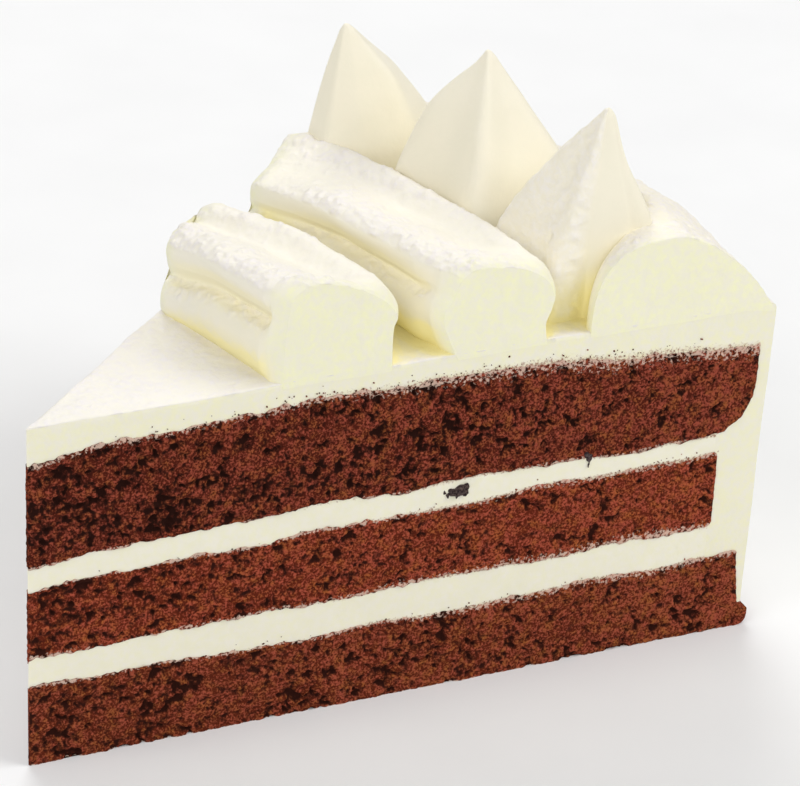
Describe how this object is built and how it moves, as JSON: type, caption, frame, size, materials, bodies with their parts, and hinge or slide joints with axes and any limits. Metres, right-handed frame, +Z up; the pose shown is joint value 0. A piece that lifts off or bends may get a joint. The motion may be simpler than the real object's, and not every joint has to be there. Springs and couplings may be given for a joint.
{
  "type": "slice of chocolate cake",
  "caption": "Wedge-shaped slice of layered chocolate sponge with cream fillings, a cream coat, piped cream ropes, a cream border and pulled cream peaks.",
  "frame": {"origin": "on the ground, under the middle of the slice's bounding box", "axes": "+X from the slice's point towards its round rim, +Y towards the cut face that the picture doesn't show, +Z up"},
  "size_m": [0.1099, 0.0811, 0.0825],
  "materials": {
    "sponge_bottom": "matt open crumb, chocolate brown",
    "filling_lower": "matt cream, pale yellow white",
    "sponge_middle": "matt open crumb, chocolate brown",
    "filling_upper": "matt cream, pale yellow white",
    "sponge_top": "matt open crumb, dark chocolate brown",
    "cream_coat": "matt cream",
    "cream_piped": "matt cream dusted white",
    "cream_border": "matt cream dusted white",
    "cream_peaks": "satin cream"
  },
  "bodies": {
    "root": {"sponge_bottom": "sponge_bottom", "filling_lower": "filling_lower", "sponge_middle": "sponge_middle", "filling_upper": "filling_upper", "sponge_top": "sponge_top", "cream_coat": "cream_coat", "cream_rope_inner": "cream_piped", "cream_rope_outer": "cream_piped", "cream_border": "cream_border", "cream_peak_front": "cream_peaks", "cream_peak_middle": "cream_peaks", "cream_peak_back": "cream_peaks"}
  },
  "joints": []
}
